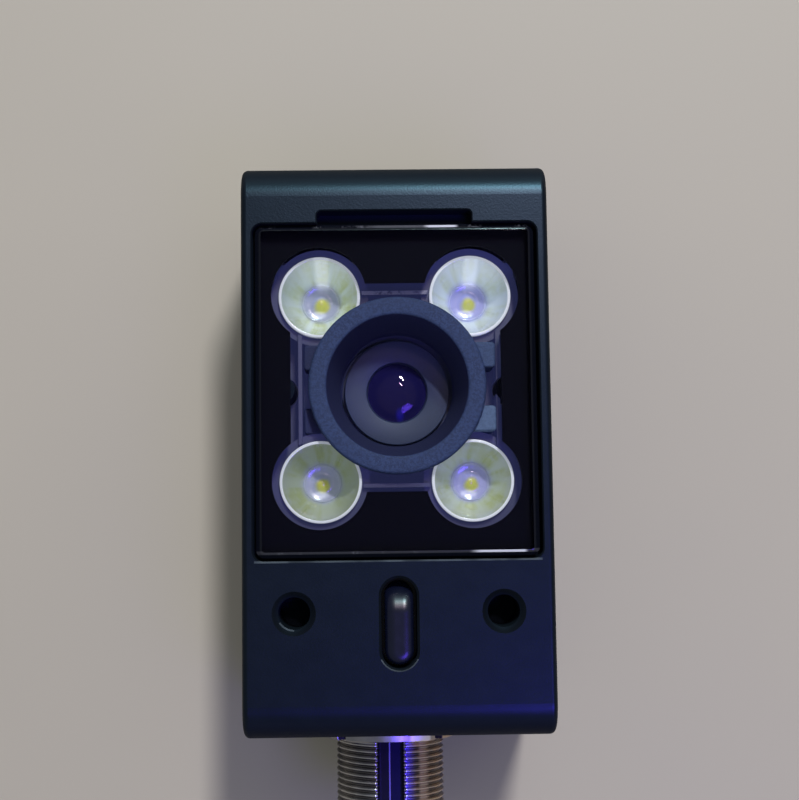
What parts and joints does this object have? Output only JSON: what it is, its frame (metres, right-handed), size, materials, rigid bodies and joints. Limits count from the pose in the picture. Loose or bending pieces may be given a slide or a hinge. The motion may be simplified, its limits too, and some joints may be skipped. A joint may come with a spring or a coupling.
{
  "type": "machine vision camera",
  "caption": "Compact fixed machine vision camera in a black metal box: ringed lens and corner lights behind a recessed window, tapped fixing holes and a round threaded connector.",
  "frame": {"origin": "centre of the flat back face", "axes": "+Z out of the front face along the lens, +Y along the long side away from the connector, +X to the right as the front is looked at"},
  "size_m": [0.032, 0.0717, 0.028],
  "materials": {
    "black_casing": "black, satin, finely textured",
    "seal_rubber": "matte",
    "dark_screw": "blackened",
    "plain_screw": "satin",
    "window_clear": "polished",
    "window_black": "gloss",
    "hood_rubber": "matte, finely grained",
    "carrier_plastic": "matte",
    "clear_plastic": "polished",
    "led_yellow": "silicone",
    "led_white_board": "solder mask",
    "green_board": "solder mask",
    "chip_black": "moulded",
    "sensor_glass": "gloss",
    "lens_black": "black, matte",
    "lens_glass": "coated",
    "header_black": "moulded",
    "pad_grey": "soft",
    "pipe_smoky": "smoky, satin",
    "nickel": "nickel-plated brass",
    "gold_contact": "gilt",
    "insert_plastic": "moulded"
  },
  "bodies": {
    "root": {"housing": "black_casing", "rear_cover": "black_casing", "rear_gasket": "seal_rubber", "cover_screws": "dark_screw", "window": "window_clear", "window_mask": "window_black", "window_adhesive": "window_black", "lens_hood": "hood_rubber", "collimator_carrier": "carrier_plastic", "led_board": "led_white_board", "led_board_screws": "plain_screw", "lens_barrel": "lens_black", "front_lens": "lens_glass", "lens_spacer": "lens_black", "middle_lens": "lens_glass", "rear_lens": "lens_glass", "lens_retainer": "lens_black", "lens_lock_ring": "lens_black", "lens_holder": "carrier_plastic", "lens_holder_screws": "plain_screw", "image_sensor": "sensor_glass", "sensor_board": "green_board", "main_board": "green_board", "board_spacers": "plain_screw", "board_screws": "plain_screw", "processor": "chip_black", "heat_pad": "pad_grey", "memory_chip": "chip_black", "board_link": "header_black", "led_header": "header_black", "light_pipe": "pipe_smoky", "status_led": "led_yellow", "status_board": "green_board", "status_board_screws": "plain_screw", "status_header": "header_black", "connector_shell": "nickel", "connector_insert": "insert_plastic", "connector_pins": "gold_contact", "connector_seal": "seal_rubber", "connector_nut": "nickel", "connector_board": "green_board", "connector_link": "header_black", "collimator_1": "clear_plastic", "led_emitter_1": "led_yellow", "collimator_2": "clear_plastic", "led_emitter_2": "led_yellow", "collimator_3": "clear_plastic", "led_emitter_3": "led_yellow", "collimator_4": "clear_plastic", "led_emitter_4": "led_yellow"}
  },
  "joints": []
}
